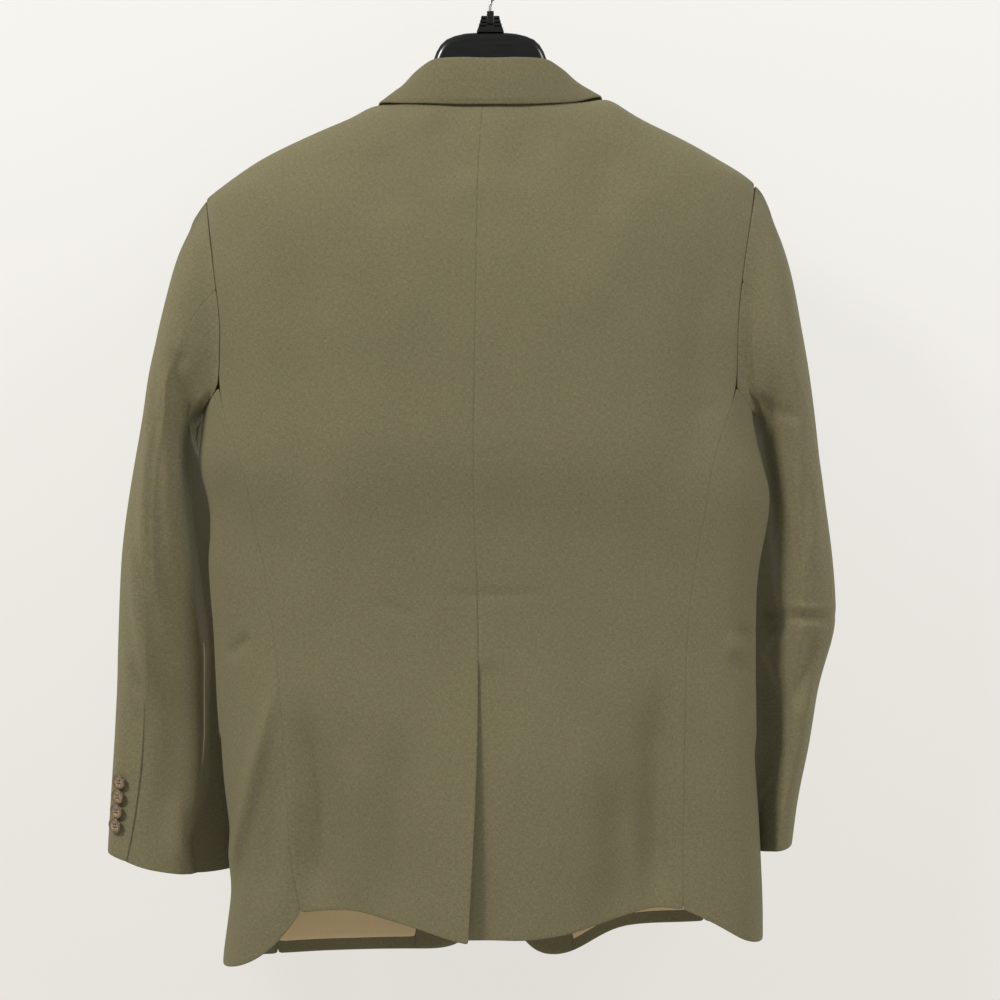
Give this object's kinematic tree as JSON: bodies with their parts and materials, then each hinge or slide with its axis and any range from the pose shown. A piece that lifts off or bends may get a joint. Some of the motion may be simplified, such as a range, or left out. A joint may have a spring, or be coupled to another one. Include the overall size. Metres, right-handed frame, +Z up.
{
  "type": "sport coat on a hanger",
  "caption": "Long-sleeved tailored coat with a centre back vent, notched lapels and flap pockets, hung on a shaped hanger with a wire hook.",
  "frame": {"origin": "inside top of the hook, where the rail bears", "axes": "+Z up, the back of the coat faces -Y, the front +Y, the wearer's right is +X"},
  "size_m": [0.7069, 0.2127, 0.9688],
  "materials": {
    "suiting": "matt olive worsted, finely mottled",
    "lining": "smooth tan lining with a soft sheen",
    "horn": "mottled brown with a darker rim",
    "hanger_plastic": "satin black",
    "hook_metal": "bright wire"
  },
  "bodies": {
    "root": {"back_left": "suiting", "back_right": "suiting", "side_left": "suiting", "side_right": "suiting", "front_left": "suiting", "front_right": "suiting", "facing_left": "suiting", "facing_right": "suiting", "lining_front_left": "lining", "lining_front_right": "lining", "lapel_left": "suiting", "lapel_right": "suiting", "collar": "suiting", "sleeve_top_left": "suiting", "sleeve_under_left": "suiting", "sleeve_top_right": "suiting", "sleeve_under_right": "suiting", "pocket_flap_left": "suiting", "pocket_flap_right": "suiting", "breast_welt": "suiting", "cuff_button_left_1": "horn", "cuff_button_left_2": "horn", "cuff_button_left_3": "horn", "cuff_button_left_4": "horn", "cuff_button_right_1": "horn", "cuff_button_right_2": "horn", "cuff_button_right_3": "horn", "cuff_button_right_4": "horn", "front_button_1": "horn", "front_button_2": "horn", "hanger_body": "hanger_plastic", "hanger_neck": "hanger_plastic", "hanger_hook": "hook_metal"}
  },
  "joints": []
}
